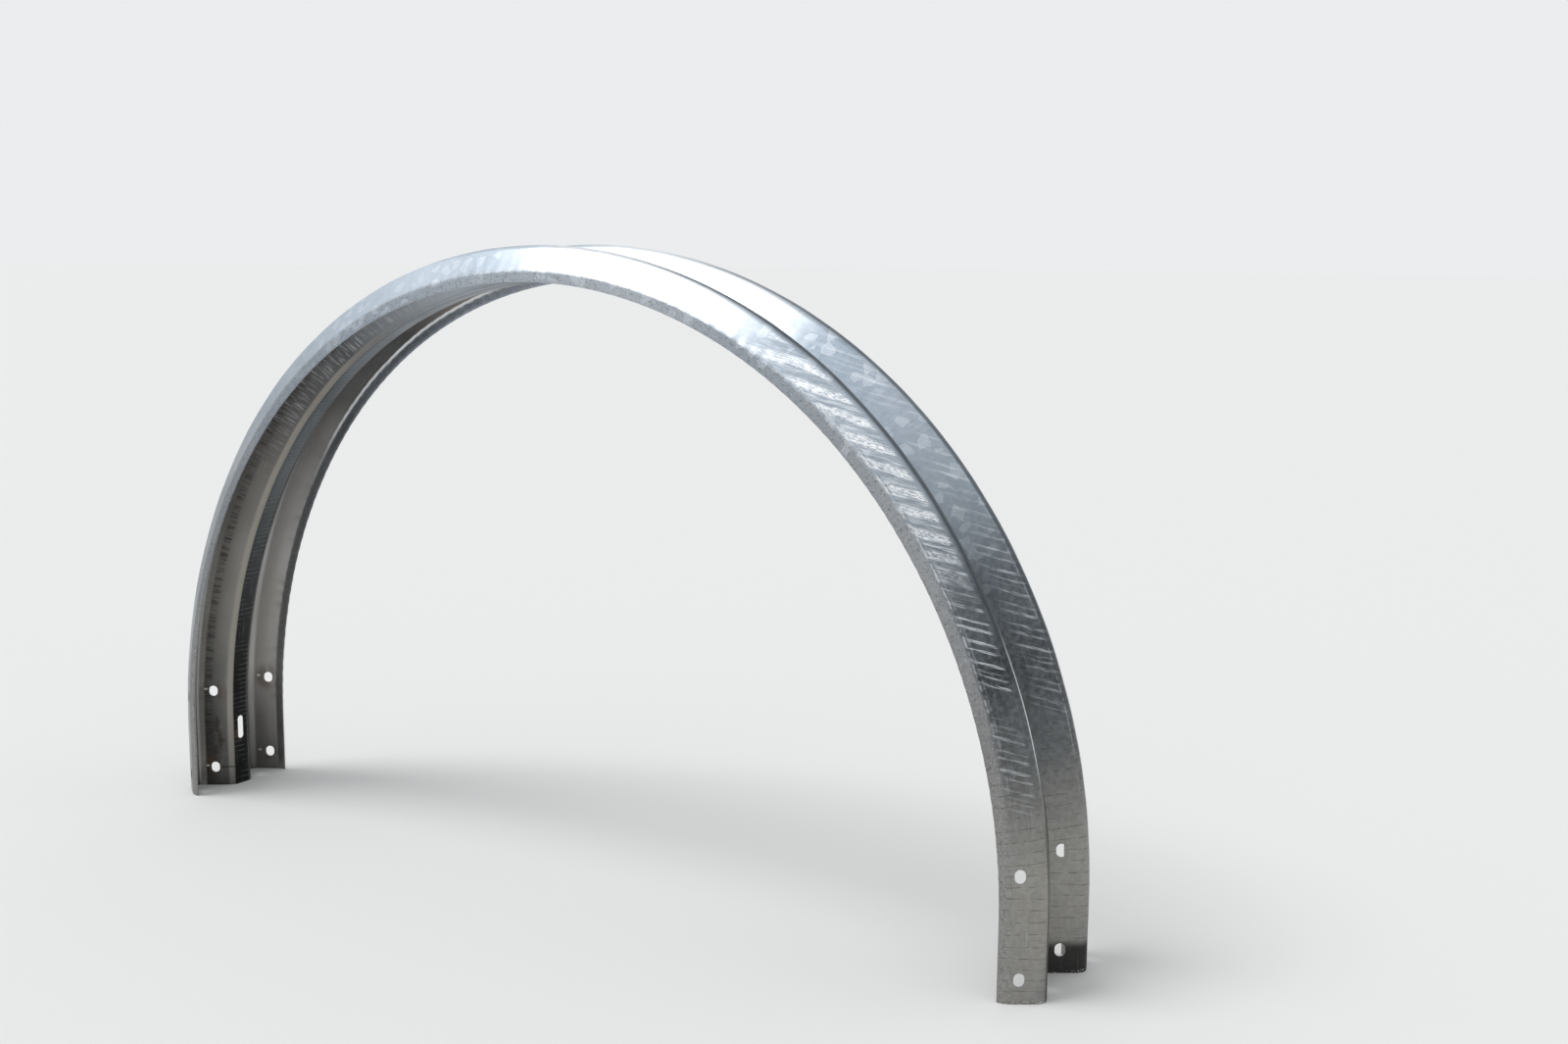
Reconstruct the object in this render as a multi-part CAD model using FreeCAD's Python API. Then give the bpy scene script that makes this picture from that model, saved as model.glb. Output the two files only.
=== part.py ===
import FreeCAD, Part
import math
import os

# A highway guardrail panel: one W-beam pressed from galvanised sheet and bent to an arch that
# stands on its two cut ends. Millimetres. X runs along the span, Y across the beam and Z up,
# with the origin on the ground, midway between the two feet and on the beam's centre line.

# The beam's section: two humps whose crests point out of the arch, a flat-bottomed valley
# between them on the inside, and a steep lip along each free edge. The flanks slope as they
# must to fill the width: 55 degrees at these sizes, with the crests 194 mm apart.
beam_width = 311.0
beam_depth = 83.0
sheet = 2.7
valley_flat = 31.6
lip_lean = 10.0
lip_length = 22.4

# Bend radii of the section, at the middle of the sheet.
crest_radius = 24.0
valley_radius = 24.0
lip_radius = 10.0

# The panel's length and the arch it is bent to, at the middle of the beam's depth. The arch
# turns through a half circle in five equal turns, and what is left of the length is two legs.
panel_length = 4318.0
left_foot_radius = 1315.0
left_haunch_radius = 1205.0
crown_radius = 1255.0
right_haunch_radius = 1215.0
right_foot_radius = 1325.0

# The bolt slots: eight splice slots at each end, in two columns, and a post slot in the valley
# midway between them and at mid-length. They are long in the direction of the beam.
splice_slot_width = 23.0
splice_slot_length = 29.0
first_column = 51.0
column_spacing = 216.0
post_slot_width = 19.0
post_slot_length = 64.0

radii = [left_foot_radius, left_haunch_radius, crown_radius, right_haunch_radius, right_foot_radius]
half_circle = 180.0
arc_turn = half_circle / len(radii)

ACROSS = FreeCAD.Vector(1, 0, 0)
OUT = FreeCAD.Vector(0, 1, 0)
ALONG = FreeCAD.Vector(0, 0, 1)


# ---- The section ----------------------------------------------------------------------------
# Each place on the section is (across, out): the distance from the centre line, and the
# distance from the middle of the depth towards the outside of the arch.

def half_flank_slope(reach, drop):
    """The tangent of half the flanks' angle, at which two flanks and their bends fill the reach.

    The reach runs from the valley's flat to the lip's corner. It is made of the valley bend's
    tangent, the two flanks, which drop by their summed heights, and two halves of the crest.
    With the tangent of half the angle as the unknown, that sum is a quadratic equation.
    """
    bends = 2 * (valley_radius + crest_radius) - drop
    rest = drop + 2 * crest_radius
    return rest / (reach + math.sqrt(reach ** 2 - bends * rest))


def section_corners():
    """Corners of the middle of the sheet, each with its bend radius, from edge to edge."""
    lean = math.radians(lip_lean)
    half_line = (beam_depth - sheet) / 2
    edge = (beam_width - sheet * math.cos(lean)) / 2
    lip_across = edge - lip_length * math.sin(lean)
    lip_out = lip_length * math.cos(lean) - half_line
    drop = 3 * half_line - lip_out - 2 * crest_radius
    half_slope = half_flank_slope(lip_across - valley_flat / 2, drop)
    flank = 2 * math.atan(half_slope)
    apex = half_line - crest_radius + crest_radius / math.cos(flank)
    valley = valley_flat / 2 + valley_radius * half_slope
    crest = valley + (apex + half_line) / math.tan(flank)
    half = [
        (valley, -half_line, valley_radius),
        (crest, apex, crest_radius),
        (lip_across, lip_out, lip_radius),
        (edge, -half_line, 0.0),
    ]
    return [(-across, out, radius) for across, out, radius in reversed(half)] + half


def direction(start, end):
    """The unit direction from one place to another."""
    across = end[0] - start[0]
    out = end[1] - start[1]
    size = math.hypot(across, out)
    return across / size, out / size


def face_corners(corners, offset):
    """The corners of one face of the sheet, at an offset to the left of its middle line."""
    steps = [direction(start, end) for start, end in zip(corners, corners[1:])]
    result = []
    for corner, into, away in zip(corners, steps[:1] + steps, steps + steps[-1:]):
        scale = offset / (1 + into[0] * away[0] + into[1] * away[1])
        across = corner[0] - scale * (into[1] + away[1])
        out = corner[1] + scale * (into[0] + away[0])
        left_turn = into[0] * away[1] - into[1] * away[0]
        radius = corner[2] - math.copysign(1, left_turn) * offset
        result.append((across, out, radius))
    return result


def point(across, out):
    """A place on the section as a vector in the section's own plane."""
    return FreeCAD.Vector(across, out, 0)


def face_edges(corners):
    """Straight edges and tangent arcs through a face's corners."""
    edges = []
    last = point(*corners[0][:2])
    for before, corner, after in zip(corners, corners[1:], corners[2:]):
        across, out, radius = corner
        into = direction(before, corner)
        away = direction(corner, after)
        half_turn = math.acos(into[0] * away[0] + into[1] * away[1]) / 2
        reach = radius * math.tan(half_turn)
        gap = radius / math.cos(half_turn) - radius
        inward = direction(into, away)
        first = point(across - reach * into[0], out - reach * into[1])
        middle = point(across + gap * inward[0], out + gap * inward[1])
        second = point(across + reach * away[0], out + reach * away[1])
        edges.append(Part.LineSegment(last, first).toShape())
        edges.append(Part.Arc(first, middle, second).toShape())
        last = second
    edges.append(Part.LineSegment(last, point(*corners[-1][:2])).toShape())
    return edges


def section_face():
    """The sheet's cross-section, cut square at both free edges."""
    outer = face_corners(section_corners(), sheet / 2)
    inner = face_corners(section_corners(), -sheet / 2)
    edges = face_edges(outer) + face_edges(inner)
    for end in (0, -1):
        edges.append(Part.LineSegment(point(*outer[end][:2]), point(*inner[end][:2])).toShape())
    return Part.Face(Part.Wire(Part.__sortEdges__(edges)))


# ---- The arch -------------------------------------------------------------------------------
# A frame on the arch has its X across the beam, its Y out of the arch and its Z along the beam.

def arc_ends():
    """Each arc's radius with the angles it starts and ends at."""
    return [(radius, math.radians(arc_turn * i), math.radians(arc_turn * (i + 1)))
            for i, radius in enumerate(radii)]


def arch_span():
    """The distance between the feet, at the middle of the depth."""
    return sum(radius * (math.cos(start) - math.cos(end)) for radius, start, end in arc_ends())


def leg_lengths():
    """The two straight legs: the length that the arcs leave, shared so that both feet are level."""
    rise = sum(radius * (math.sin(end) - math.sin(start)) for radius, start, end in arc_ends())
    straight = panel_length - sum(radius * (end - start) for radius, start, end in arc_ends())
    return (straight - rise) / 2, (straight + rise) / 2


def straight_step(length):
    """The move along a straight run."""
    return FreeCAD.Placement(ALONG * length, FreeCAD.Rotation())


def arc_step(radius, turn):
    """The move along an arc, about its centre on the inside of the arch."""
    return FreeCAD.Placement(FreeCAD.Vector(), FreeCAD.Rotation(ACROSS, turn), OUT * -radius)


def runs():
    """The runs from the left foot to the right one: start frame, length and radius, if bent."""
    left_leg, right_leg = leg_lengths()
    stand = FreeCAD.Rotation(FreeCAD.Vector(0, 1, 0), FreeCAD.Vector(-1, 0, 0), ALONG)
    place = FreeCAD.Placement(FreeCAD.Vector(-arch_span() / 2, 0, 0), stand)
    result = [(place, left_leg, None)]
    place = place * straight_step(left_leg)
    for radius in radii:
        result.append((place, radius * math.radians(arc_turn), radius))
        place = place * arc_step(radius, arc_turn)
    result.append((place, right_leg, None))
    return result


def frame_at(distance):
    """The frame at a distance along the beam from the left foot."""
    for place, length, radius in runs():
        if distance <= length:
            break
        distance -= length
    if radius is None:
        return place * straight_step(distance)
    return place * arc_step(radius, math.degrees(distance / radius))


def bent_beam():
    """The plain beam: the section carried along every run, joined into one sheet."""
    section = section_face()
    pieces = []
    for place, length, radius in runs():
        if radius is None:
            piece = section.extrude(ALONG * length)
        else:
            piece = section.revolve(OUT * -radius, ACROSS, math.degrees(length / radius))
        piece.Placement = place
        pieces.append(piece)
    return pieces[0].multiFuse(pieces[1:])


# ---- The slots ------------------------------------------------------------------------------

def slot_cutter(width, length, distance, across, out, tilt):
    """A round-ended slot, long in the direction of the beam and square to the tilted sheet."""
    reach = beam_depth / 4
    side = ACROSS * (width / 2)
    straight = ALONG * ((length - width) / 2)
    tip = ALONG * (length / 2)
    outline = Part.Wire([
        Part.LineSegment(-side - straight, -side + straight).toShape(),
        Part.Arc(-side + straight, tip, side + straight).toShape(),
        Part.LineSegment(side + straight, side - straight).toShape(),
        Part.Arc(side - straight, -tip, -side - straight).toShape(),
    ])
    outline.translate(OUT * -reach)
    cutter = Part.Face(outline).extrude(OUT * (2 * reach))
    on_section = FreeCAD.Placement(point(across, out), FreeCAD.Rotation(ALONG, tilt))
    cutter.Placement = frame_at(distance) * on_section
    return cutter


def slot_rows():
    """Where each sloping flank crosses the middle of the depth, with the flank's tilt."""
    corners = section_corners()
    flanks = [(start, end) for start, end in zip(corners, corners[1:]) if start[1] * end[1] < 0]
    rows = []
    for start, end in flanks:
        share = start[1] / (start[1] - end[1])
        across = start[0] + share * (end[0] - start[0])
        rows.append((across, math.degrees(math.atan2(end[1] - start[1], end[0] - start[0]))))
    return rows


def slot_cutters():
    """Every slot's cutter."""
    valley_out = (sheet - beam_depth) / 2
    columns = [first_column, first_column + column_spacing]
    lap_middle = first_column + column_spacing / 2
    cutters = []
    for distance in columns + [panel_length - column for column in columns]:
        for across, tilt in slot_rows():
            cutters.append(slot_cutter(splice_slot_width, splice_slot_length, distance, across, 0, tilt))
    for distance in (lap_middle, panel_length / 2, panel_length - lap_middle):
        cutters.append(slot_cutter(post_slot_width, post_slot_length, distance, 0, valley_out, 0))
    return cutters


rail = bent_beam().cut(slot_cutters())

os.makedirs("parts", exist_ok=True)
rail.exportStep("parts/rail.step")

print("crests apart", round(2 * section_corners()[5][0], 2), "flank angle", round(slot_rows()[-2][1], 2))
print("legs", [round(leg, 1) for leg in leg_lengths()], "span", round(arch_span(), 1))
print("slot rows", [round(across, 2) for across, tilt in slot_rows()])
print("solids", len(rail.Solids), "valid", rail.isValid(), "volume", round(rail.Volume))
print("section area times length", round(section_face().Area * panel_length))
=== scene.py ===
# %% [markdown]
# # A bent guardrail panel
# The object is one W-beam guardrail panel that has been taken off its posts and bent to an arch.
# It is a single sheet of steel, 2.7 mm thick, pressed to two humps and hot-dip galvanised. The
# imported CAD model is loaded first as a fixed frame, and every size and place below comes from its
# box or from the sizes of the pressed section. Lengths are in metres.

# %% Load the frame
import math

import bmesh
import bpy
from mathutils import Matrix, Vector


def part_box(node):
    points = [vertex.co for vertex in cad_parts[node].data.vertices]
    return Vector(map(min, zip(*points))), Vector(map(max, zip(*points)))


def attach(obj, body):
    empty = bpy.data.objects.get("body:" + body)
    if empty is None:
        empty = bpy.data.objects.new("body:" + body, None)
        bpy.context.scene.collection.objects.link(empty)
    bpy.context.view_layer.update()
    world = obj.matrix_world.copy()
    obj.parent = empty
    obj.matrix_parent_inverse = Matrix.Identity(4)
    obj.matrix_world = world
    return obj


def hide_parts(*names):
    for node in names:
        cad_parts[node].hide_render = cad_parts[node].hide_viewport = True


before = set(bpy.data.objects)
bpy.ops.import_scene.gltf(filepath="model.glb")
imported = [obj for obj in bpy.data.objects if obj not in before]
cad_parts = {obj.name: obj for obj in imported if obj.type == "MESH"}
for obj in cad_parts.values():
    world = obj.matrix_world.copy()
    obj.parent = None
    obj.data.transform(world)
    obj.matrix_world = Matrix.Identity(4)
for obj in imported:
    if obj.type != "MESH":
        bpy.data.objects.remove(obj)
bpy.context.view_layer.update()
rail_low, rail_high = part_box("rail")
print("CAD box", [round(v, 4) for v in rail_low], [round(v, 4) for v in rail_high])

# %% [markdown]
# ## Camera
# The camera stands a little above the crown's height, to the right of the arch, and looks down at
# it by nine degrees. It is placed from the middle of the CAD box, turned to the left by the
# azimuth, tipped down and rolled by half a degree. A focal length of 43 mm on a 36 mm sensor gives
# the same narrowing from the near leg to the far one as the real view has.

# %% Camera
MILLIMETRE = 0.001
CAMERA_FROM_CENTRE = Vector((2.795, -3.397, 0.807))
VIEW_AZIMUTH = 33.08
VIEW_DOWN = 9.13
VIEW_ROLL = 0.53
LENS_MM = 43.08
SENSOR_MM = 36.0


def deselect_all():
    """Nothing stays selected, so that the next operator acts on its own object only."""
    if bpy.context.mode != "OBJECT":
        bpy.ops.object.mode_set(mode="OBJECT")
    bpy.ops.object.select_all(action="DESELECT")


def turned(degrees, axis):
    """A rotation about one axis."""
    return Matrix.Rotation(math.radians(degrees), 4, axis)


deselect_all()
bpy.ops.object.camera_add()
camera = bpy.context.object
camera.name = "camera"
camera.data.lens = LENS_MM
camera.data.sensor_width = SENSOR_MM
arch_centre = (rail_low + rail_high) / 2
aim = turned(VIEW_AZIMUTH, "Z") @ turned(90 - VIEW_DOWN, "X") @ turned(VIEW_ROLL, "Z")
camera.matrix_world = Matrix.Translation(arch_centre + CAMERA_FROM_CENTRE) @ aim
bpy.context.scene.camera = camera
print("camera at", [round(v, 3) for v in camera.matrix_world.translation])

# %% [markdown]
# ## The section
# A W-beam's section is a chain of straight runs and round bends, so it can be walked like a path:
# go straight, turn by an angle on a radius, go straight again. From the middle of the valley the
# sheet runs flat, bends out into the inner flank, goes round the crest, comes back down the outer
# flank and ends in a steep lip. The lengths of the straight runs follow from the depth, the width
# and the flanks' angle, and the two sides are alike.

# %% Sizes of the section
BEAM_WIDTH = rail_high.y - rail_low.y
BEAM_DEPTH = 0.083
SHEET = 0.0027
FLANK_ANGLE = 55.0
LIP_ANGLE = 80.0
LIP_LENGTH = 0.0224
VALLEY_FLAT = 0.0316
CREST_RADIUS = 0.024
VALLEY_RADIUS = 0.024
LIP_RADIUS = 0.010

half_depth = (BEAM_DEPTH - SHEET) / 2


def tangent(radius, turn):
    """How far before its corner a bend of this radius begins."""
    return radius * math.tan(math.radians(turn / 2))


flank_slope = math.radians(FLANK_ANGLE)
apex = half_depth - CREST_RADIUS + CREST_RADIUS / math.cos(flank_slope)
lip_corner = LIP_LENGTH * math.sin(math.radians(LIP_ANGLE)) - half_depth
crest_tangent = tangent(CREST_RADIUS, 2 * FLANK_ANGLE)
lip_tangent = tangent(LIP_RADIUS, LIP_ANGLE - FLANK_ANGLE)
valley_tangent = tangent(VALLEY_RADIUS, FLANK_ANGLE)
inner_flank = (apex + half_depth) / math.sin(flank_slope) - valley_tangent - crest_tangent
outer_flank = (apex - lip_corner) / math.sin(flank_slope) - crest_tangent - lip_tangent
lip_run = LIP_LENGTH - lip_tangent
valley_corner = VALLEY_FLAT / 2 + valley_tangent
crest_across = valley_corner + (apex + half_depth) / math.tan(flank_slope)
inner_row = valley_corner + half_depth / math.tan(flank_slope)
outer_row = crest_across + apex / math.tan(flank_slope)
print("straight runs, mm:", [round(v / MILLIMETRE, 1) for v in (inner_flank, outer_flank, lip_run)])

# %% [markdown]
# ## The arch
# Along its length the panel is a straight leg, five arcs that turn 36 degrees each with slightly
# different radii, and a second straight leg. A frame that travels along it, with X across the
# beam, Y out of the arch and Z along the beam, gives the place of anything on the panel: the
# centres to spin about, the slots and the texture coordinates.

# %% Sizes of the arch
PANEL_LENGTH = 4.318
ARC_RADII = (1.315, 1.205, 1.255, 1.215, 1.325)
ARC_TURN = math.pi / len(ARC_RADII)

arc_angles = [(radius, i * ARC_TURN, (i + 1) * ARC_TURN) for i, radius in enumerate(ARC_RADII)]
rise = sum(r * (math.sin(b) - math.sin(a)) for r, a, b in arc_angles)
straight = PANEL_LENGTH - sum(ARC_RADII) * ARC_TURN
left_leg = (straight - rise) / 2
right_leg = (straight + rise) / 2
left_foot_x = rail_low.x + BEAM_DEPTH / 2

arcs = []
arc_start = Matrix(((0, -1, 0, left_foot_x), (1, 0, 0, 0), (0, 0, 1, left_leg), (0, 0, 0, 1)))
begins = left_leg
for radius in ARC_RADII:
    middle = arc_start @ Vector((0, -radius, 0))
    arcs.append({"radius": radius, "centre": middle, "start": arc_start.copy(),
                 "home": arc_start.inverted(), "begins": begins})
    swing = Matrix.Translation((0, -radius, 0)) @ Matrix.Rotation(ARC_TURN, 4, "X")
    arc_start = arc_start @ swing @ Matrix.Translation((0, radius, 0))
    begins += radius * ARC_TURN
right_start = arc_start


def place_at(distance):
    """The travelling frame at a distance along the panel from the left foot."""
    if distance <= left_leg:
        return arcs[0]["start"] @ Matrix.Translation((0, 0, distance - left_leg))
    for arc in arcs:
        ahead = distance - arc["begins"]
        if ahead <= arc["radius"] * ARC_TURN:
            back = Matrix.Translation((0, -arc["radius"], 0))
            spin = Matrix.Rotation(ahead / arc["radius"], 4, "X")
            return arc["start"] @ back @ spin @ back.inverted()
    return right_start @ Matrix.Translation((0, 0, distance - PANEL_LENGTH + right_leg))


print("legs", round(left_leg, 4), round(right_leg, 4))
print("right foot at", [round(v, 4) for v in place_at(PANEL_LENGTH).translation])

# %% [markdown]
# ## Folding the sheet
# The real panel starts as a flat strip, and the rolls fold it. The same can be done here: a narrow
# grid is the valley's flat on the left leg, and its side edges are extruded for each straight run
# and spun about an upright axis for each bend. Spin gives true arcs, where the bevel operator
# would only give an arc at right angles. The grid is cut crosswise every 8.5 mm, which is fine
# enough for the ripples that come later.

# %% Fold one leg
STEP = 0.0085
VALLEY_STEPS = 5
CREST_STEPS = 12
LIP_STEPS = 3
FLANK_STEPS = 3


def rows_in(length):
    """How many rows of faces cover a length."""
    return max(1, round(length / STEP))


def select_edges(piece, wanted):
    """Selects, in edit mode, the edges of which both ends pass the test."""
    mesh = bmesh.from_edit_mesh(piece.data)
    mesh.select_mode = {"EDGE"}
    for part in (mesh.verts, mesh.edges, mesh.faces):
        for element in part:
            element.select = False
    for edge in mesh.edges:
        edge.select_set(all(wanted(vertex.co) for vertex in edge.verts))
    mesh.select_flush_mode()
    bmesh.update_edit_mesh(piece.data)


def extrude(value, times=1):
    """Extrudes the selected edges by a distance, in equal steps."""
    for _ in range(times):
        bpy.ops.mesh.extrude_region_move(TRANSFORM_OT_translate={"value": Vector(value) / times})


def fold_side(side):
    """Folds the sheet outwards from the valley's flat to one free edge. Side is 1 far, -1 near."""
    here = Vector((valley_x, side * VALLEY_FLAT / 2, 0))
    heading = 0.0
    select_edges(rail, lambda co: abs(co.y - here.y) < MILLIMETRE / 10)
    for turn, radius, bend_steps, run, run_steps in FOLDS:
        way = Vector((-math.sin(math.radians(heading)), side * math.cos(math.radians(heading)), 0))
        inward = Vector((-way.y * side, way.x * side, 0)) * math.copysign(1, turn)
        middle = here + inward * radius
        bpy.ops.mesh.spin(steps=bend_steps, angle=SPIN_SIGN * side * math.radians(turn),
                          center=middle, axis=(0, 0, 1))
        here = middle + Matrix.Rotation(side * math.radians(turn), 3, "Z") @ (here - middle)
        heading += turn
        way = Vector((-math.sin(math.radians(heading)), side * math.cos(math.radians(heading)), 0))
        extrude(way * run, run_steps)
        here = here + way * run
    return here


SPIN_SIGN = -1
FOLDS = (
    (FLANK_ANGLE, VALLEY_RADIUS, VALLEY_STEPS, inner_flank, FLANK_STEPS),
    (-2 * FLANK_ANGLE, CREST_RADIUS, CREST_STEPS, outer_flank, FLANK_STEPS),
    (FLANK_ANGLE - LIP_ANGLE, LIP_RADIUS, LIP_STEPS, lip_run, FLANK_STEPS),
)
valley_x = left_foot_x + half_depth

deselect_all()
bpy.ops.mesh.primitive_grid_add(x_subdivisions=rows_in(left_leg), y_subdivisions=2, size=1,
                                location=(valley_x, 0, left_leg / 2),
                                rotation=(0, -math.pi / 2, 0))
rail = bpy.context.object
rail.name = "rail_sheet"
rail.scale = (left_leg, VALLEY_FLAT, 1)
bpy.ops.object.transform_apply(location=True, rotation=True, scale=True)
bpy.ops.object.mode_set(mode="EDIT")
for side in (1, -1):
    edge = fold_side(side)
    print("free edge at", [round(v / MILLIMETRE, 2) for v in edge])
bpy.ops.object.mode_set(mode="OBJECT")
print("rows on the leg", rows_in(left_leg), "vertices", len(rail.data.vertices))

# %% [markdown]
# ## Rolling the arch
# A guardrail panel is bent lengthwise by forcing it through three rolls, a little at a time, and
# the radius wanders as the panel goes through. Here the top row of edges is spun about the centre
# of each of the five arcs in turn. Without a window Spin turns the opposite way to a rotation
# matrix, so its angle has a minus sign. The right leg is then extruded straight down to the floor.

# %% Roll the arch
bpy.ops.object.mode_set(mode="EDIT")
select_edges(rail, lambda co: co.z > left_leg - MILLIMETRE / 10)
for arc in arcs:
    bpy.ops.mesh.spin(steps=rows_in(arc["radius"] * ARC_TURN), angle=SPIN_SIGN * ARC_TURN,
                      center=arc["centre"], axis=(0, 1, 0))
extrude((0, 0, -right_leg), rows_in(right_leg))
bpy.ops.mesh.select_all(action="SELECT")
bpy.ops.mesh.remove_doubles(threshold=MILLIMETRE / 20)
bpy.ops.mesh.normals_make_consistent(inside=False)
bpy.ops.object.mode_set(mode="OBJECT")


def box_of(piece):
    """The lowest and highest corners of a piece's mesh."""
    corners = [Vector(corner) for corner in piece.bound_box]
    low = [min(corner[i] for corner in corners) for i in range(3)]
    high = [max(corner[i] for corner in corners) for i in range(3)]
    return [round(v, 4) for v in low], [round(v, 4) for v in high]


print("mid-sheet box", *box_of(rail), "vertices", len(rail.data.vertices))

# %% [markdown]
# ## Measuring along the sheet
# Dents, stains and grain follow the sheet and not the room, so every point of the mesh needs its
# place on the unbent panel: how far across the beam, how far out of its middle plane and how far
# along it from the left foot. The function below undoes the arch for one point.

# %% Unbend a point
ROUNDING = 1e-6


def unbent(co):
    """Across, out and along, for a point on the panel."""
    if co.z <= left_leg and co.x < 0:
        return Vector((co.y, left_foot_x - co.x, co.z))
    for arc in arcs:
        local = arc["home"] @ co + Vector((0, arc["radius"], 0))
        swing = math.atan2(local.z, local.y)
        if -ROUNDING <= swing <= ARC_TURN + ROUNDING:
            return Vector((co.y, math.hypot(local.y, local.z) - arc["radius"],
                           arc["begins"] + swing * arc["radius"]))
    return Vector((co.y, co.x - right_start.translation.x, PANEL_LENGTH - co.z))


PROBES = (0.1, 1.0, 2.159, 3.3, 4.3)
for probe in PROBES:
    there = place_at(probe) @ Vector((crest_across, half_depth, 0))
    print("unbent", probe, [round(v, 4) for v in unbent(there)])

# %% [markdown]
# ## Creases from the bending
# When the beam is forced round, its lips are squeezed and its flanks pucker, so shallow creases
# run across them about every 34 mm. They are made one by one in the mesh: every fourth row of the
# lip and flank is pushed outwards by less than a millimetre and the row half a period later is
# pulled in. A seeded random nudge and a Displace modifier with a cloud texture make them uneven.

# %% Pucker the lips and the flanks
CREASE_ROWS = 4
LIP_CREASE = 0.0005
FLANK_CREASE = 0.00025
DENT_SIZE = 0.11
DENT_DEPTH = 0.0014


def select_points(piece, wanted):
    """Selects, in edit mode, the vertices of which the place on the unbent panel passes."""
    mesh = bmesh.from_edit_mesh(piece.data)
    mesh.select_mode = {"VERT"}
    for vertex in mesh.verts:
        vertex.select_set(bool(wanted(unbent(vertex.co))))
    mesh.select_flush_mode()
    bmesh.update_edit_mesh(piece.data)
    return sum(vertex.select for vertex in mesh.verts)


def row_of(place):
    """The number of the row of vertices that a point is in."""
    return round(place.z / STEP)


def is_bent(place):
    """Whether a point is on the rolled part, away from the straight legs."""
    return left_leg < place.z < PANEL_LENGTH - right_leg


lip_begins = crest_across + (apex - lip_corner) / math.tan(flank_slope) - MILLIMETRE
bands = (
    (lip_begins, BEAM_WIDTH, LIP_CREASE),
    (crest_across + crest_tangent, lip_begins, FLANK_CREASE),
    (valley_corner + valley_tangent, crest_across - crest_tangent, FLANK_CREASE),
)
seed = 7
bpy.ops.object.mode_set(mode="EDIT")
for side in (1, -1):
    for inner, outer, amount in bands:
        for phase, push in ((0, amount), (CREASE_ROWS // 2, -amount)):
            count = select_points(rail, lambda p: is_bent(p) and inner < side * p.x < outer
                                  and (row_of(p) + side) % CREASE_ROWS == phase)
            bpy.ops.transform.translate(value=(0, side * push, 0))
            seed += 1
            bpy.ops.transform.vertex_random(offset=amount / 3, uniform=1.0, seed=seed)
        print("creases on band", round(inner / MILLIMETRE), "mm, side", side, "last", count)
bpy.ops.object.mode_set(mode="OBJECT")


def finish_with(piece, kind, **settings):
    """Adds a modifier with its settings and applies it."""
    deselect_all()
    piece.select_set(True)
    bpy.context.view_layer.objects.active = piece
    modifier = piece.modifiers.new(kind.lower(), kind)
    for name, value in settings.items():
        setattr(modifier, name, value)
    bpy.ops.object.modifier_apply(modifier=modifier.name)


waves = bpy.data.textures.new("waves_of_the_sheet", "CLOUDS")
waves.noise_scale = DENT_SIZE
waves.noise_depth = 1
finish_with(rail, "DISPLACE", texture=waves, texture_coords="LOCAL", strength=DENT_DEPTH)
bpy.data.textures.remove(waves)

# %% [markdown]
# ## Thickness
# The sheet is 2.7 mm thick. Solidify gives the wall half to each side, so that the section's
# middle line stays where it was drawn, and its even offset keeps the wall the same in the bends.

# %% Thicken the sheet
finish_with(rail, "SOLIDIFY", thickness=SHEET, offset=0, use_even_offset=True)
print("after thickness", *box_of(rail), "vertices", len(rail.data.vertices))

# %% [markdown]
# ## Slots
# The slots are punched before the panel is bent. Eight splice slots at each end, in two columns,
# join one panel to the next, and a long slot in the valley takes the post bolt. Each cutter is a
# short cylinder of which one half is pulled away from the other along the beam, then set square to
# its own flank. All of them are joined to one object and taken off in one Boolean.

# %% Punch the slots
SPLICE_SLOT = (0.023, 0.029)
POST_SLOT = (0.019, 0.064)
SPLICE_COLUMNS = (0.051, 0.267)
POST_COLUMN = 0.159
CROWN_SLOT = PANEL_LENGTH / 2
CUTTER_SIDES = 32
CUTTER_DEPTH = 0.02

slot_places = []
for column in SPLICE_COLUMNS:
    for distance in (column, PANEL_LENGTH - column):
        for side in (1, -1):
            slot_places.append((SPLICE_SLOT, distance, side * inner_row, 0, side * FLANK_ANGLE))
            slot_places.append((SPLICE_SLOT, distance, side * outer_row, 0, -side * FLANK_ANGLE))
for distance in (POST_COLUMN, PANEL_LENGTH - POST_COLUMN, CROWN_SLOT):
    slot_places.append((POST_SLOT, distance, 0, -half_depth, 0))

long_way_along = Matrix(((0, 1, 0, 0), (0, 0, 1, 0), (1, 0, 0, 0), (0, 0, 0, 1)))
cutters = []
for (width, length), distance, across, out, tilt in slot_places:
    deselect_all()
    bpy.ops.mesh.primitive_cylinder_add(vertices=CUTTER_SIDES, radius=width / 2,
                                        depth=CUTTER_DEPTH,
                                        rotation=(0, 0, math.pi / CUTTER_SIDES))
    cutter = bpy.context.object
    bpy.ops.object.transform_apply(location=True, rotation=True, scale=True)
    bpy.ops.object.mode_set(mode="EDIT")
    for half in (1, -1):
        shape = bmesh.from_edit_mesh(cutter.data)
        for vertex in shape.verts:
            vertex.select_set(half * vertex.co.x > 0)
        shape.select_flush_mode()
        bmesh.update_edit_mesh(cutter.data)
        bpy.ops.transform.translate(value=(half * (length - width) / 2, 0, 0))
    bpy.ops.object.mode_set(mode="OBJECT")
    tilted = Matrix.Translation((across, out, 0)) @ turned(tilt, "Z")
    cutter.matrix_world = place_at(distance) @ tilted @ long_way_along
    cutters.append(cutter)
deselect_all()
for cutter in cutters:
    cutter.select_set(True)
bpy.context.view_layer.objects.active = cutters[0]
bpy.ops.object.join()
punch = bpy.context.object
bpy.ops.object.transform_apply(location=True, rotation=True, scale=True)
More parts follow.
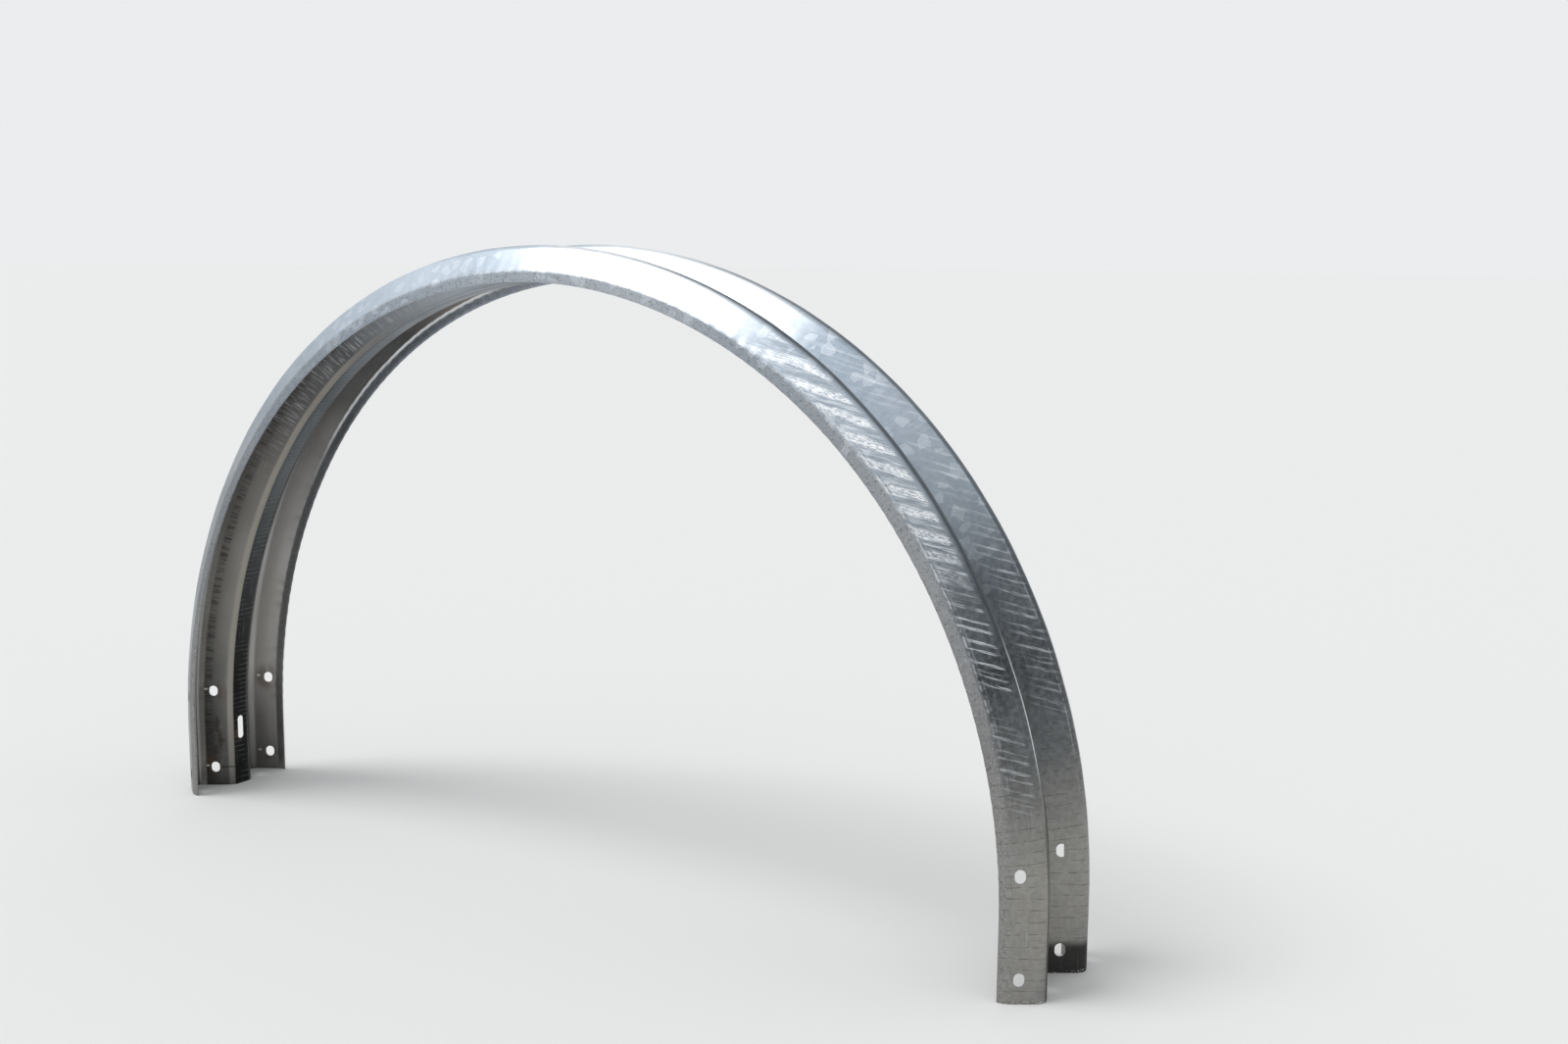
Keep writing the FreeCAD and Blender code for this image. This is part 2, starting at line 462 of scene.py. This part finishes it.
finish_with(rail, "BOOLEAN", operation="DIFFERENCE", object=punch, solver="EXACT")
bpy.data.objects.remove(punch)
print("slots punched:", len(slot_places), "vertices", len(rail.data.vertices))

# %% [markdown]
# ## Rims
# Shearing and punching leave an edge that the zinc rounds off. A small bevel on every edge sharper
# than forty degrees does this at the free edges, the ends and the slots, and gives each of them
# the thin line of light that makes the sheet look as thick as it is.

# %% Round the rims
RIM = 0.0005
SHARP = math.radians(40)
finish_with(rail, "BEVEL", width=RIM, segments=2, limit_method="ANGLE", angle_limit=SHARP,
            use_clamp_overlap=True)
deselect_all()
rail.select_set(True)
bpy.context.view_layer.objects.active = rail
bpy.ops.object.shade_smooth_by_angle(angle=SHARP)
rail.data.name = rail.name
rail.data.calc_loop_triangles()
print("rail:", *box_of(rail), "triangles", len(rail.data.loop_triangles))
checked = bmesh.new()
checked.from_mesh(rail.data)
print("open edges", sum(not edge.is_manifold for edge in checked.edges),
      "volume, cm3", round(checked.calc_volume() * 1e6))
checked.free()

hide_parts("rail")
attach(rail, "root")

# %% [markdown]
# ## Places on the sheet
# The finish has to know where it is on the panel. Each vertex is given its place on the unbent
# sheet, which skin it is on, and how far it is from the nearest slot, as attributes of the mesh
# that the material reads. They follow the metal, so they stay right wherever the panel stands.

# %% Places for the finish
slot_centres = [place_at(d) @ Vector((across, out, 0)) for _, d, across, out, _ in slot_places]
places = []
skins = []
slot_gaps = []
for vertex in rail.data.vertices:
    place = unbent(vertex.co)
    outwards = place_at(place.z).to_3x3() @ Vector((0, 1, 0))
    places.extend(place)
    skins.append(1.0 if vertex.normal.dot(outwards) > 0 else 0.0)
    slot_gaps.append(min((vertex.co - centre).length for centre in slot_centres))
rail.data.attributes.new("sheet", "FLOAT_VECTOR", "POINT").data.foreach_set("vector", places)
rail.data.attributes.new("skin", "FLOAT", "POINT").data.foreach_set("value", skins)
rail.data.attributes.new("slot_gap", "FLOAT", "POINT").data.foreach_set("value", slot_gaps)
print("points measured", len(skins))

# %% [markdown]
# ## The finish: weathered hot-dip galvanised steel
# The panel was dipped in molten zinc at about 450 °C after it was pressed. The zinc freezes in
# flat crystals, the spangle, and then weathers from a bright mirror to a pale grey skin that
# scatters most of its light. So the metal is rough, its crystals show as faint patches a few
# centimetres wide, and everything that has rubbed, rusted or run on it since is a thin layer over
# that. The layers are painted one over another, each through masks that say where it lies. Some
# of them are painted light: painted highlights, painted reflections and painted shade.

# %% Colour and nodes
zinc = bpy.data.materials.new("galvanised_steel_weathered")
zinc.use_nodes = True
zinc.node_tree.nodes.clear()


def linear(hex_value):
    """An sRGB hex value as the linear colour that shaders work with."""
    channels = [int(hex_value[i:i + 2], 16) / 255 for i in (1, 3, 5)]
    return [c / 12.92 if c <= 0.04045 else ((c + 0.055) / 1.055) ** 2.4 for c in channels] + [1]


def add(kind, links=None, **settings):
    """A node with its settings. Links maps each input to a node's output or to a plain value."""
    node = zinc.node_tree.nodes.new(kind)
    for name, value in settings.items():
        setattr(node, name, value)
    for socket, value in (links or {}).items():
        if isinstance(value, bpy.types.NodeSocket):
            zinc.node_tree.links.new(value, node.inputs[socket])
        else:
            node.inputs[socket].default_value = value
    return node


print("zinc grey in linear light", [round(c, 3) for c in linear("#9aa1a7")])

# %% [markdown]
# ### Where things are on the sheet
# The mesh carries each point's place on the unbent panel, which skin it is on and how far it is
# from the nearest slot. Masks are made from these: a band is one between two limits and nothing
# outside them, and blotches are noise that is cut at a level. Noise can be stretched, which turns
# blotches to hairlines, and its size is always given in millimetres.

# %% Masks
sheet_place = add("ShaderNodeAttribute", attribute_name="sheet").outputs["Vector"]
axes = add("ShaderNodeSeparateXYZ", {0: sheet_place})
across = axes.outputs[0]
along = axes.outputs[2]
spread = add("ShaderNodeMath", {0: across}, operation="ABSOLUTE").outputs[0]
outside = add("ShaderNodeAttribute", attribute_name="skin").outputs["Fac"]
inside = add("ShaderNodeMath", {0: 1.0, 1: outside}, operation="SUBTRACT").outputs[0]
slot_gap = add("ShaderNodeAttribute", attribute_name="slot_gap").outputs["Fac"]


def product(masks):
    """All the masks multiplied together."""
    total = masks[0]
    for mask in masks[1:]:
        total = add("ShaderNodeMath", {0: total, 1: mask}, operation="MULTIPLY").outputs[0]
    return total


def band(value, low, high, soft):
    """One between two limits of a value, with soft sides. The limits and the softness are in
    thousandths: for a length in metres, that is millimetres."""
    steps = []
    for edge, before, after in ((low, 0.0, 1.0), (high, 1.0, 0.0)):
        steps.append(add("ShaderNodeMapRange", {
            0: value, 1: (edge - soft) / 1000, 2: (edge + soft) / 1000, 3: before, 4: after},
            interpolation_type="SMOOTHSTEP").outputs[0])
    return product(steps)


def blotches(sizes, low, high, seed, detail=3.0, place=sheet_place):
    """Noise with a size in millimetres each way, cut between two levels."""
    scale = [1 / (size * MILLIMETRE) for size in sizes]
    stretched = add("ShaderNodeMapping", {"Vector": place, "Scale": scale,
                                          "Location": (seed, seed, seed)}).outputs[0]
    cloud = add("ShaderNodeTexNoise", {"Vector": stretched, "Scale": 1.0, "Detail": detail})
    return add("ShaderNodeMapRange", {0: cloud.outputs[0], 1: low, 2: high},
               interpolation_type="SMOOTHSTEP").outputs[0]


def tone_along(stops):
    """A colour that changes along the panel, from pairs of metres and hex values."""
    share = add("ShaderNodeMath", {0: along, 1: PANEL_LENGTH}, operation="DIVIDE").outputs[0]
    ramp = add("ShaderNodeValToRGB", {0: share})
    marks = ramp.color_ramp.elements
    for metres, tint in stops[1:-1]:
        marks.new(metres / PANEL_LENGTH).color = linear(tint)
    marks[0].color = linear(stops[0][1])
    marks[-1].color = linear(stops[-1][1])
    return ramp.outputs["Color"]


# Strips of the section, from the near free edge to the far one.
near_inner = band(across, -86, -38, 3)
near_valley_bend = band(across, -36.5, -24, 2.5)
valley_floor = band(across, -24, 36, 2)
far_inside = band(across, 36, 150, 2)
far_half = band(across, 0, 200, 1)
crest_hollow = band(across, -112, -88, 2)
near_strip = band(across, -84, -72, 2)
shaded_strip = band(across, -71, -59, 2.5)
outer_side = band(spread, 114, 147, 4)
lip = band(spread, 148.5, 200, 3)
print("masks use", len(zinc.node_tree.nodes), "nodes")

# %% [markdown]
# ### The zinc's tone, with painted light and shade
# The tones along the panel hold the zinc's weathered grey and painted light. The top of the arch
# is painted nearly white, a painted highlight of the high sun, and the right haunch is painted
# dark, a painted reflection of a dark horizon. The legs are a warm grey. Inside, the hollows carry
# painted light and shade, and the valley's floor at the left foot is painted darkest.

# %% Tones along the panel
# Painted light: the near-white stretch at the crown is a painted highlight of the sun, and the dark
# stretch of the right haunch is a painted reflection.
outer_tone_and_painted_light = tone_along((
    (0.0, "#8d8f91"), (0.9, "#8f959b"), (1.5, "#b5c1cd"), (1.8, "#c3ced9"), (2.02, "#aab5c0"),
    (2.12, "#bfc8d1"), (2.24, "#e6eaee"), (2.6, "#e6ebf0"), (2.82, "#929eaa"), (3.05, "#a9b4c0"),
    (3.25, "#99a3ac"), (3.45, "#585e63"), (3.64, "#35383a"), (3.84, "#5a5b5a"), (4.05, "#949189"),
    (4.318, "#8c8983")))
# Painted light and shade inside the hollows: each strip's tone follows how it faces the light, and
# the valley's floor at the left foot is painted darkest.
near_hollow_tone_and_painted_shading = tone_along((
    (0.0, "#4c4c4a"), (0.12, "#53524f"), (0.3, "#6f6e6b"), (0.5, "#86847f"), (0.7, "#807e7a"),
    (0.9, "#726f6b"), (1.1, "#656361"), (1.4, "#535456"), (1.8, "#a3aab1"), (2.6, "#80858a"),
    (3.2, "#6a6d70"), (4.318, "#4b4b4a")))
valley_tone_and_painted_shade = tone_along((
    (0.0, "#1d1e1d"), (0.3, "#1b1b1b"), (0.5, "#2d2e2e"), (0.7, "#3f4243"), (0.95, "#565a5c"),
    (1.3, "#464d53"), (1.6, "#626a71"), (2.6, "#7d8286"), (3.4, "#606467"), (4.318, "#3a3b3b")))
far_hollow_tone_and_painted_shading = tone_along((
    (0.0, "#6a6966"), (0.15, "#7f7d7a"), (0.3, "#a6a4a0"), (0.6, "#a5a3a0"), (0.9, "#8b8986"),
    (1.15, "#605f5e"), (1.45, "#4a4a4b"), (1.75, "#8a847e"), (2.2, "#8b9196"), (3.2, "#6f7275"),
    (4.318, "#5b5a58")))
# The lips are painted paler towards the crown, as painted highlight.
lip_tone_and_painted_light = tone_along((
    (0.0, "#8c8a86"), (0.8, "#82868a"), (1.6, "#9aa3ad"), (2.4, "#b2b8be"), (2.8, "#9aa1a9"),
    (3.4, "#989a9c"), (3.8, "#858584"), (4.05, "#93918c"), (4.318, "#8f8c87")))
print("nodes after the tones", len(zinc.node_tree.nodes))

# %% [markdown]
# ### Crystals and clouds
# The spangle is a Voronoi pattern: each cell is one crystal of zinc about 20 mm wide, and only the
# brightest and darkest of them show, since weather has dulled the rest to one grey. Broad clouds
# are where the patina is thicker, and a fine grain is the zinc's own skin.

# %% Spangle, clouds and grain
SPANGLE = 21 * MILLIMETRE
crystals = add("ShaderNodeTexVoronoi", {"Vector": sheet_place, "Scale": 1 / SPANGLE})
crystal_tone = add("ShaderNodeSeparateColor", {0: crystals.outputs["Color"]}).outputs[0]
clouds = blotches((120, 120, 180), 0.3, 0.7, 3)
grain = blotches((11, 11, 11), 0.35, 0.7, 5, detail=6.0)
broken = blotches((14, 14, 14), 0.4, 0.6, 47, detail=4.0)
print("spangle", round(SPANGLE / MILLIMETRE), "mm")

# %% [markdown]
# ### Scuffs and painted highlights of the bending
# Where the panel rubbed on the rolls and on its neighbours, the creases of the right haunch are
# scuffed to bright hatching: broad bars near the crown, and thin strokes in clusters below. The
# bright bars and strokes are partly scuffed zinc and partly painted highlights on the creases. The
# scuffs lie in slanting planes through the arch and not square to the sheet, so they follow a
# height that grows with the distance to the right. Sine waves along that height give the bars and
# the strokes, a slow noise shakes them, and a stretched noise frays them.

# %% Scuffs
SCUFF_SLANT = 0.28
SCUFF_PITCH = 34
FINE_PITCHES = (12, 19)
SHAKE_SIZE = 70
BAR_SHAKE = 30
STROKE_SHAKE = 4
BETWEEN_RUBBED_LINES = -29


def ripples(value, push, amount, pitch):
    """A wave from minus one to one along a value. A noise pushes it along by an amount, and that
    and the pitch are in millimetres."""
    pushed = add("ShaderNodeMath", {0: push, 1: amount * MILLIMETRE, 2: value},
                 operation="MULTIPLY_ADD").outputs[0]
    turns = add("ShaderNodeMath", {0: pushed, 1: 2 * math.pi / (pitch * MILLIMETRE)},
                operation="MULTIPLY").outputs[0]
    return add("ShaderNodeMath", {0: turns}, operation="SINE").outputs[0]


room_axes = add("ShaderNodeSeparateXYZ", {0: add("ShaderNodeTexCoord").outputs["Object"]})
height = add("ShaderNodeMath", {0: room_axes.outputs[0], 1: SCUFF_SLANT, 2: room_axes.outputs[2]},
             operation="MULTIPLY_ADD").outputs[0]
scuff_place = add("ShaderNodeCombineXYZ", {0: room_axes.outputs[0], 1: room_axes.outputs[1],
                                           2: height}).outputs[0]
shake = add("ShaderNodeTexNoise", {"Vector": scuff_place,
                                   "Scale": 1 / (SHAKE_SIZE * MILLIMETRE)}).outputs[0]
scuff_and_highlight_bars = band(ripples(height, shake, BAR_SHAKE, SCUFF_PITCH), 150, 2000, 450)
hatching = blotches((70, 26, 2.0), 0.42, 0.60, 31, detail=5.0, place=scuff_place)
thin_strokes = blotches((60, 24, 1.3), 0.50, 0.60, 73, detail=5.0, place=scuff_place)
flecks = blotches((9, 5, 2.0), 0.44, 0.60, 11, detail=3.0, place=scuff_place)

fine_waves = 0.0
for pitch in FINE_PITCHES:
    fine_wave = ripples(height, shake, STROKE_SHAKE, pitch)
    fine_waves = add("ShaderNodeMath", {0: fine_wave, 1: fine_waves}, operation="ADD").outputs[0]
clusters = blotches((200, 200, 60), 0.27, 0.55, 83, place=scuff_place)
fine_scuff_and_highlight_strokes = product([band(fine_waves, 650, 4000, 400), clusters])
broken_hatch = blotches((40, 20, 1.5), 0.42, 0.58, 37, detail=5.0, place=scuff_place)

high_haunch = band(along, 2820, 3400, 110)
haunch = band(along, 2800, 3880, 120)
# The stretch where painted shade lies on the crests.
crest_shade_span = band(along, 2450, 3640, 140)
# Rubbed lines run by the near lip's fold and beside the far crest, the same way off this place.
from_between = add("ShaderNodeMath", {0: across, 1: BETWEEN_RUBBED_LINES * MILLIMETRE},
                   operation="SUBTRACT").outputs[0]
crest_edge = add("ShaderNodeMath", {0: from_between}, operation="ABSOLUTE").outputs[0]
print("scuff bars every", SCUFF_PITCH, "mm, nodes", len(zinc.node_tree.nodes))

# %% [markdown]
# ### Lines, stains and pits
# The rolls have left fine lines across the legs and the valley's floor, at a nearly even pitch.
# Stones and other panels have drawn long scratches, water has stained the hollows, and the zinc
# is pitted where it froze too fast. By the bolts of the left foot small painted highlights, painted
# glints, stand beside the slots.

# %% Lines, stains, pits and painted glints
VALLEY_LINE_PITCH = 14
LEG_LINE_PITCH = 24
DRIFT_SIZE = 130
LINE_DRIFT = 22
HAIR_BEND_SIZE = 40
HAIR_DRIFT = 14
SPOT_GLINT_SIZE = 2.6
SPOT_SHIFTS = ((-inner_row, -0.013), (outer_row, -0.017))
SPOT_RISE = 0.004

drift = add("ShaderNodeTexNoise", {"Vector": sheet_place,
                                   "Scale": 1 / (DRIFT_SIZE * MILLIMETRE)}).outputs[0]
valley_wave = ripples(along, drift, LINE_DRIFT, VALLEY_LINE_PITCH)
valley_lines = band(valley_wave, 930, 2000, 60)
leg_wave = ripples(along, drift, LINE_DRIFT, LEG_LINE_PITCH)
leg_lines = product([band(leg_wave, 975, 2000, 20), broken])
left_foot = band(along, -100, 650, 180)
# The stretch of the right foot where painted shade lies.
right_foot_shade_span = band(along, 3960, 4500, 70)
hair_bend = add("ShaderNodeTexNoise", {"Vector": sheet_place,
                                       "Scale": 1 / (HAIR_BEND_SIZE * MILLIMETRE)}).outputs[0]
hair_place = add("ShaderNodeMath", {0: hair_bend, 1: HAIR_DRIFT * MILLIMETRE, 2: along},
                 operation="MULTIPLY_ADD").outputs[0]
hair_place = add("ShaderNodeMath", {0: hair_place, 1: HAIR_DRIFT / 2 * MILLIMETRE},
                 operation="SUBTRACT").outputs[0]
cross_hairs = blotches((60, 60, 1.6), 0.60, 0.70, 13, detail=4.0)
cross_grain = blotches((45, 45, 4), 0.42, 0.66, 17, detail=5.0)
cross_ribs = blotches((70, 70, 7), 0.50, 0.62, 41, detail=2.0)
hollow_scuffs = blotches((55, 55, 5), 0.50, 0.64, 53, detail=4.0)
valley_patches = blotches((50, 50, 60), 0.40, 0.60, 59)
long_scratches = blotches((1.2, 1.2, 90), 0.66, 0.72, 19)
pits = blotches((2.6, 2.6, 2.6), 0.70, 0.76, 23, detail=1.0)
stains = blotches((40, 40, 70), 0.46, 0.62, 29, detail=5.0)

# Painted glints: small painted highlights beside the slots of the left foot.
bolt_glints = 0.0
for row, shift in SPOT_SHIFTS:
    for column in SPLICE_COLUMNS:
        from_spot = add("ShaderNodeVectorMath", {
            0: sheet_place, 1: (1.0, 0.0, 1.0), 2: (-row - shift, 0.0, -column - SPOT_RISE)},
            operation="MULTIPLY_ADD").outputs[0]
        reach = add("ShaderNodeVectorMath", {0: from_spot}, operation="LENGTH").outputs["Value"]
        bolt_glints = add("ShaderNodeMath", {0: bolt_glints, 1: band(reach, -9, SPOT_GLINT_SIZE, 2)},
                       operation="ADD").outputs[0]
print("nodes with all the marks", len(zinc.node_tree.nodes))

# %% [markdown]
# ### The layers
# Each layer has a name, a tint or a tone, and the masks that it is painted through. The first five
# are the zinc's tones, strip by strip, with painted light and shade in them. The rest is what has
# happened to it, from the patina to the rust and the pits, and painted highlights, painted
# reflections and painted shade on the crests, folds, bends and feet. A number among the masks is
# how strong the layer is.

# %% Layers
layers = [
    # The first five layers are the tones, with painted light and shade in them.
    ("outer skin with painted light", outer_tone_and_painted_light, [outside]),
    ("near hollow", near_hollow_tone_and_painted_shading, [inside, band(across, -160, -23, 2)]),
    ("far hollow", far_hollow_tone_and_painted_shading, [inside, far_inside]),
    ("valley", valley_tone_and_painted_shade, [inside, valley_floor]),
    ("lips", lip_tone_and_painted_light, [lip]),
    ("cloudy patina", "#82888d", [outside, clouds, 0.18]),
    ("fine grain", "#dde2e6", [outside, grain, 0.08]),
    ("bright crystals", "#e3e9ef", [outside, band(crystal_tone, 860, 1200, 20),
                                   band(along, 1400, 3350, 250), 0.25]),
    ("dark crystals", "#6f7880", [outside, band(crystal_tone, -200, 150, 20), 0.08]),
    ("dull between the scuffs", "#7d868e", [outside, outer_side, high_haunch, 0.3]),
    # Partly scuffed zinc and partly painted highlights on the creases.
    ("scuffs and painted highlights in bars", "#dfe5ea", [outside, outer_side, high_haunch, scuff_and_highlight_bars, hatching, 0.8]),
    ("bright flecks", "#ffffff", [outside, outer_side, high_haunch, scuff_and_highlight_bars, flecks, 0.8]),
    ("thin strokes", "#e9edf0", [outside, outer_side, high_haunch, thin_strokes, 0.5]),
    # Fine strokes: partly scuffs and partly painted highlights on the creases.
    ("fine scuffs near", "#d7dde2", [outside, outer_side, haunch, fine_scuff_and_highlight_strokes, broken_hatch,
                                     0.75]),
    ("fine scuffs far", "#e4e9ee", [outside, far_half, band(spread, 52, 92, 14),
                                    band(along, 2800, 3750, 140), fine_scuff_and_highlight_strokes, broken_hatch,
                                    0.4]),
    # Painted shade on the crest bends, which turn away from the light.
    ("near crest", "#3a4146", [outside, band(across, -106, -78, 5), crest_shade_span, 0.85]),
    ("far crest", "#444c52", [outside, band(across, 88, 118, 4), crest_shade_span, 0.75]),
    ("scuffed crest edges", "#dfe5ea", [outside, band(crest_edge, 112.5, 115.5, 1), haunch,
                                        broken, 0.2]),
    # Painted highlight along the near crest of the right leg.
    ("painted highlight on the near crest", "#eef1f3", [outside, band(across, -94, -80, 2),
                                    band(along, 3600, 3850, 50), 0.8]),
    # Painted shade on the near crest bend of the right foot, and a painted shadow on the far hump
    # beside the near one.
    ("painted shade on the crest bend", "#2c2b2a", [outside, band(across, -99, -76, 2),
                                           right_foot_shade_span, 0.8]),
    ("painted shadow beside the near hump", "#1f1f1e", [outside, band(across, 20, 40, 1.5), right_foot_shade_span, 0.9]),
    # Painted highlight along the far crest of the right leg.
    ("painted highlight on the far crest", "#eef1f3", [outside, band(across, 101, 125, 2),
                                   band(along, 3560, 4120, 80), 0.6]),
    # Painted highlight along the lips' folds.
    ("painted highlight on the lip fold", "#e6eaee", [outside, band(spread, 145.5, 147.5, 1), broken,
                                  band(along, 2850, 3750, 200), 0.55]),
    ("dark lip fold", "#3f454a", [outside, band(spread, 143, 145, 1), broken,
                                  band(along, 3000, 3750, 150), 0.45]),
    # Painted shadow on the far hump at the right foot, nearly black, with a pale streak across it.
    ("painted shadow at the far foot", "#1e1e1e", [outside, far_half, band(along, 4252, 4400, 12), 0.88]),
    ("pale streak at the far foot", "#aba59c", [outside, band(across, 106, 130, 7),
                                band(along, 4292, 4298, 2.5), 0.7]),
    # Painted glints along the cut end of the right foot.
    ("painted glints on the cut end", "#dddbd7", [outside, band(along, 4311, 4400, 1),
                                   blotches((5, 5, 3), 0.55, 0.65, 71), 0.8]),
    ("leg lines", "#4a4946", [outside, leg_lines, band(along, 3780, 4500, 120), 0.6]),
    # Painted light on the strips of the left foot's hollow that face the light.
    ("painted light on a strip in the hollow", "#b0aea9", [inside, near_strip, left_foot, 0.9]),
    ("painted light in the crest hollow", "#a3a19d", [inside, crest_hollow, left_foot, 0.8]),
    ("ribs in the hollow", "#8d8a86", [inside, near_strip, cross_ribs, 0.25]),
    # Painted shade on a strip of the near hollow, broken by the grain.
    ("painted shade on a strip in the hollow", "#2b2a29", [inside, shaded_strip, cross_grain, 0.75]),
    ("stain between the slots", "#2f2822", [inside, band(across, -60, -42, 5), stains,
                                            band(along, 70, 240, 50), 0.7]),
    # Painted shade on the valley's far bend, which faces away from the light, with a thin painted
    # highlight along it.
    ("far bend", "#262726", [inside, band(across, 17, 38, 2), 0.85]),
    ("line in the far bend", "#9a9c9d", [inside, band(across, 25, 27, 1), 0.5]),
    # Painted highlight along the far lip's fold, inside, near the crown.
    ("painted highlight on the far fold", "#eceef0", [inside, band(across, 145.5, 149, 1),
                                    band(along, 1050, 2000, 200), 0.85]),
    ("cross grain inside", "#9b9691", [inside, near_inner, cross_grain, 0.07]),
    ("pale scuffs in the hollow", "#aeb1b4", [inside, band(across, -112, -40, 4),
                                              band(along, 1050, 1900, 180), hollow_scuffs, 0.5]),
    # Painted light on the near valley bend, which faces the light; its grey is tinted tan.
    ("painted light on the tan bend", "#9a958d", [inside, near_valley_bend, band(along, 20, 1500, 250), 0.8]),
    ("lines in the valley", "#a9aeb2", [inside, valley_floor, valley_lines, valley_patches,
                                       0.22]),
    ("hairline by the slot", "#151515", [inside, band(across, -50, 8, 3),
                                         band(hair_place, 49, 52, 1), 0.85]),
    ("cross hairlines", "#4c4d4e", [outside, cross_hairs, 0.28]),
    ("scratches", "#d5d9dc", [long_scratches, 0.22]),
    ("rust stain at the bolts", "#5c4a3a", [inside, band(slot_gap, -1, 34, 16), stains, 0.6]),
    ("pits", "#45413e", [pits, 0.5]),
    ("pitted lips", "#5f5a55", [lip, blotches((4, 4, 6), 0.56, 0.66, 43), 0.55]),
    ("glints on the lips", "#f4f6f7", [lip, blotches((2.6, 2.6, 3.4), 0.66, 0.72, 61), 0.7]),
    # Painted glints beside the slots of the left foot.
    ("painted glints by the bolts", "#f1f2f2", [inside, bolt_glints, 0.8]),
]
print("layers", len(layers))

# %% [markdown]
# ### Painting and shading
# The layers are mixed one over another to the metal's colour. Dulled zinc still mirrors, but
# broadly, so it is nearly all metal and middling rough, and rougher under the clouds of patina.
# The grain and the pits also bend the light a little.

# %% Paint and shade
NEW_ZINC = "#a3abb2"
ZINC_METALLIC = 0.9
ZINC_ROUGHNESS = (0.34, 0.5)
GRAIN_RELIEF = 0.15
PIT_RELIEF = -0.6
RELIEF_STRENGTH = 0.35
RELIEF_DEPTH = 0.4 * MILLIMETRE

colour = linear(NEW_ZINC)
for name, tint, masks in layers:
    coat = add("ShaderNodeMix", {0: product(masks), 6: colour}, data_type="RGBA", label=name)
    if isinstance(tint, str):
        coat.inputs[7].default_value = linear(tint)
    else:
        zinc.node_tree.links.new(tint, coat.inputs[7])
    colour = coat.outputs[2]

roughness = add("ShaderNodeMapRange", {0: clouds, 3: ZINC_ROUGHNESS[0], 4: ZINC_ROUGHNESS[1]})
relief = add("ShaderNodeMath", {0: grain, 1: GRAIN_RELIEF}, operation="MULTIPLY").outputs[0]
relief = add("ShaderNodeMath", {0: pits, 1: PIT_RELIEF, 2: relief},
             operation="MULTIPLY_ADD").outputs[0]
skin_bump = add("ShaderNodeBump", {"Height": relief, "Strength": RELIEF_STRENGTH,
                                   "Distance": RELIEF_DEPTH})
surface = add("ShaderNodeBsdfPrincipled", {"Base Color": colour, "Metallic": ZINC_METALLIC,
                                           "Roughness": roughness.outputs[0],
                                           "Normal": skin_bump.outputs[0]})
add("ShaderNodeOutputMaterial", {0: surface.outputs[0]})
rail.data.materials.clear()
rail.data.materials.append(zinc)
print("material nodes", len(zinc.node_tree.nodes))

# %% [markdown]
# ## Floor and light
# The arch stands on a plain pale floor in soft light. The floor is a smooth screed with a coat of
# rolled matt paint: it scatters light evenly, mirrors nothing, and so shows only soft shadows. One
# broad sun stands high, in front and to the left, as through thin cloud, and lights the top of the
# arch more than the legs; the near-white top and the grey legs are also painted into the zinc's
# tones. The even light of a pale world fills the shadows and gives the metal something to mirror.

# %% Floor
FLOOR_RADIUS = 60
FLOOR_SIDES = 128
MATT_PAINT = "#d2d2d1"
MATT_ROUGHNESS = 0.9
deselect_all()
bpy.ops.mesh.primitive_circle_add(vertices=FLOOR_SIDES, radius=FLOOR_RADIUS, fill_type="NGON")
floor = bpy.context.object
floor.name = "floor"
paint = bpy.data.materials.new("rolled_matt_floor_paint")
paint.use_nodes = True
floor_shader = paint.node_tree.nodes["Principled BSDF"]
floor_shader.inputs["Base Color"].default_value = linear(MATT_PAINT)
floor_shader.inputs["Roughness"].default_value = MATT_ROUGHNESS
floor.data.materials.append(paint)
print("floor radius", FLOOR_RADIUS, "m")

# %% Light
SUN_DIRECTION = Vector((-0.4, -0.35, 0.9))
SUN_STRENGTH = 1.6
SUN_WIDTH = 30
SKY_STRENGTH = 0.9
SKY_TINT = "#f6f8fa"
deselect_all()
bpy.ops.object.light_add(type="SUN", location=SUN_DIRECTION * 5)
sun = bpy.context.object
sun.name = "high_sun"
sun.rotation_euler = SUN_DIRECTION.to_track_quat("Z", "Y").to_euler()
sun.data.energy = SUN_STRENGTH
sun.data.angle = math.radians(SUN_WIDTH)
sky = bpy.data.worlds.new("studio")
bpy.context.scene.world = sky
sky.use_nodes = True
sky.node_tree.nodes["Background"].inputs["Color"].default_value = linear(SKY_TINT)
sky.node_tree.nodes["Background"].inputs["Strength"].default_value = SKY_STRENGTH
bpy.context.scene.view_settings.view_transform = "Standard"
print("sun angle", SUN_WIDTH, "degrees, strength", SUN_STRENGTH, "sky", SKY_STRENGTH)
